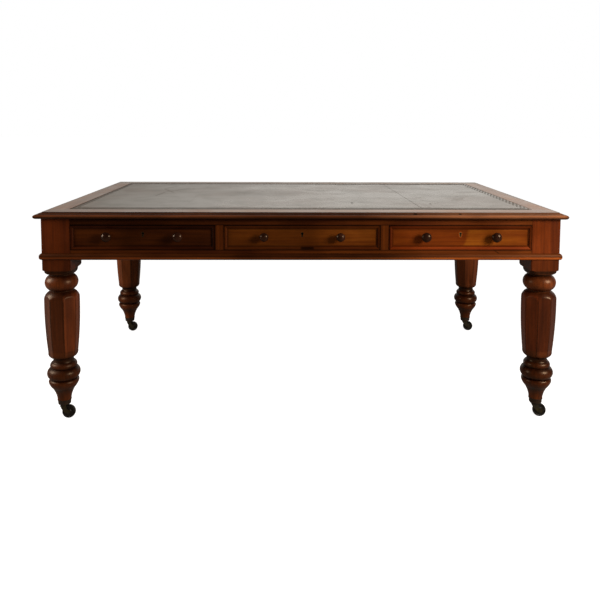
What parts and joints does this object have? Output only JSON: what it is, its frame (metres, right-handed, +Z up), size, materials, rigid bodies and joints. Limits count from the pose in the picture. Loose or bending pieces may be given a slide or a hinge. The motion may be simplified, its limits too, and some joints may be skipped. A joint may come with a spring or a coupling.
{
  "type": "partners desk",
  "caption": "Low-aproned partners desk: leather-lined moulded top, drawers on both long sides, turned and faceted legs on brass casters.",
  "frame": {"origin": "on the floor under the middle of the desk", "axes": "+Z up, X along the desk's length, the front drawers face -Y"},
  "size_m": [1.886, 1.114, 0.77],
  "materials": {
    "mahogany": "waxed and polished, worn",
    "carcass_wood": "planed, unfinished",
    "drawer_wood": "planed, aged",
    "dark_wood": "turned and polished",
    "writing_leather": "worn skiver, blind tooled",
    "aged_brass": "tarnished",
    "dark_brass": "blackened, worn"
  },
  "bodies": {
    "root": {"top_panel": "carcass_wood", "top_border": "mahogany", "front_top_rail": "mahogany", "rear_top_rail": "mahogany", "front_bottom_rail": "mahogany", "rear_bottom_rail": "mahogany", "left_end_rail": "mahogany", "right_end_rail": "mahogany", "centre_rail": "carcass_wood", "drawer_dividers": "mahogany", "bottom_bead": "mahogany", "drawer_runners": "carcass_wood", "drawer_kickers": "carcass_wood", "drawer_stops": "carcass_wood", "front_left_leg": "mahogany", "front_right_leg": "mahogany", "rear_left_leg": "mahogany", "rear_right_leg": "mahogany", "leather_left": "writing_leather", "leather_centre": "writing_leather", "leather_right": "writing_leather", "caster_cups": "aged_brass"},
    "front_left_caster": {"front_left_caster_fork": "aged_brass"},
    "front_left_wheel": {"front_left_caster_wheel": "dark_brass"},
    "front_right_caster": {"front_right_caster_fork": "aged_brass"},
    "front_right_wheel": {"front_right_caster_wheel": "dark_brass"},
    "rear_left_caster": {"rear_left_caster_fork": "aged_brass"},
    "rear_left_wheel": {"rear_left_caster_wheel": "dark_brass"},
    "rear_right_caster": {"rear_right_caster_fork": "aged_brass"},
    "rear_right_wheel": {"rear_right_caster_wheel": "dark_brass"},
    "front_left_drawer": {"front_left_drawer_face": "mahogany", "front_left_drawer_box": "drawer_wood", "front_left_drawer_knobs": "dark_wood", "front_left_drawer_lock": "aged_brass"},
    "front_left_bolt": {"front_left_lock_bolt": "aged_brass"},
    "front_middle_drawer": {"front_middle_drawer_face": "mahogany", "front_middle_drawer_box": "drawer_wood", "front_middle_drawer_knobs": "dark_wood", "front_middle_drawer_lock": "aged_brass"},
    "front_middle_bolt": {"front_middle_lock_bolt": "aged_brass"},
    "front_right_drawer": {"front_right_drawer_face": "mahogany", "front_right_drawer_box": "drawer_wood", "front_right_drawer_knobs": "dark_wood", "front_right_drawer_lock": "aged_brass"},
    "front_right_bolt": {"front_right_lock_bolt": "aged_brass"},
    "rear_left_drawer": {"rear_left_drawer_face": "mahogany", "rear_left_drawer_box": "drawer_wood", "rear_left_drawer_knobs": "dark_wood", "rear_left_drawer_lock": "aged_brass"},
    "rear_left_bolt": {"rear_left_lock_bolt": "aged_brass"},
    "rear_middle_drawer": {"rear_middle_drawer_face": "mahogany", "rear_middle_drawer_box": "drawer_wood", "rear_middle_drawer_knobs": "dark_wood", "rear_middle_drawer_lock": "aged_brass"},
    "rear_middle_bolt": {"rear_middle_lock_bolt": "aged_brass"},
    "rear_right_drawer": {"rear_right_drawer_face": "mahogany", "rear_right_drawer_box": "drawer_wood", "rear_right_drawer_knobs": "dark_wood", "rear_right_drawer_lock": "aged_brass"},
    "rear_right_bolt": {"rear_right_lock_bolt": "aged_brass"}
  },
  "joints": [
    {"name": "front_left_caster_swivel", "type": "hinge", "parent": "root", "child": "front_left_caster", "pos_m": [-0.8705, -0.4805, 0.048], "axis": [0, 0, 1], "continuous": true},
    {"name": "front_left_wheel_spin", "type": "hinge", "parent": "front_left_caster", "child": "front_left_wheel", "pos_m": [-0.8555, -0.4805, 0.024], "axis": [0, 1, 0], "continuous": true},
    {"name": "front_right_caster_swivel", "type": "hinge", "parent": "root", "child": "front_right_caster", "pos_m": [0.8705, -0.4805, 0.048], "axis": [0, 0, 1], "continuous": true},
    {"name": "front_right_wheel_spin", "type": "hinge", "parent": "front_right_caster", "child": "front_right_wheel", "pos_m": [0.8855, -0.4805, 0.024], "axis": [0, 1, 0], "continuous": true},
    {"name": "rear_left_caster_swivel", "type": "hinge", "parent": "root", "child": "rear_left_caster", "pos_m": [-0.8705, 0.4805, 0.048], "axis": [0, 0, 1], "continuous": true},
    {"name": "rear_left_wheel_spin", "type": "hinge", "parent": "rear_left_caster", "child": "rear_left_wheel", "pos_m": [-0.8555, 0.4805, 0.024], "axis": [0, 1, 0], "continuous": true},
    {"name": "rear_right_caster_swivel", "type": "hinge", "parent": "root", "child": "rear_right_caster", "pos_m": [0.8705, 0.4805, 0.048], "axis": [0, 0, 1], "continuous": true},
    {"name": "rear_right_wheel_spin", "type": "hinge", "parent": "rear_right_caster", "child": "rear_right_wheel", "pos_m": [0.8855, 0.4805, 0.024], "axis": [0, 1, 0], "continuous": true},
    {"name": "front_left_drawer_slide", "type": "slide", "parent": "root", "child": "front_left_drawer", "axis": [0, -1, 0], "range_m": [0, 0.4]},
    {"name": "front_left_bolt_throw", "type": "slide", "parent": "front_left_drawer", "child": "front_left_bolt", "axis": [0, 0, 1], "range_m": [0, 0.007]},
    {"name": "front_middle_drawer_slide", "type": "slide", "parent": "root", "child": "front_middle_drawer", "axis": [0, -1, 0], "range_m": [0, 0.4]},
    {"name": "front_middle_bolt_throw", "type": "slide", "parent": "front_middle_drawer", "child": "front_middle_bolt", "axis": [0, 0, 1], "range_m": [0, 0.007]},
    {"name": "front_right_drawer_slide", "type": "slide", "parent": "root", "child": "front_right_drawer", "axis": [0, -1, 0], "range_m": [0, 0.4]},
    {"name": "front_right_bolt_throw", "type": "slide", "parent": "front_right_drawer", "child": "front_right_bolt", "axis": [0, 0, 1], "range_m": [0, 0.007]},
    {"name": "rear_left_drawer_slide", "type": "slide", "parent": "root", "child": "rear_left_drawer", "axis": [0, 1, 0], "range_m": [0, 0.4]},
    {"name": "rear_left_bolt_throw", "type": "slide", "parent": "rear_left_drawer", "child": "rear_left_bolt", "axis": [0, 0, 1], "range_m": [0, 0.007]},
    {"name": "rear_middle_drawer_slide", "type": "slide", "parent": "root", "child": "rear_middle_drawer", "axis": [0, 1, 0], "range_m": [0, 0.4]},
    {"name": "rear_middle_bolt_throw", "type": "slide", "parent": "rear_middle_drawer", "child": "rear_middle_bolt", "axis": [0, 0, 1], "range_m": [0, 0.007]},
    {"name": "rear_right_drawer_slide", "type": "slide", "parent": "root", "child": "rear_right_drawer", "axis": [0, 1, 0], "range_m": [0, 0.4]},
    {"name": "rear_right_bolt_throw", "type": "slide", "parent": "rear_right_drawer", "child": "rear_right_bolt", "axis": [0, 0, 1], "range_m": [0, 0.007]}
  ]
}
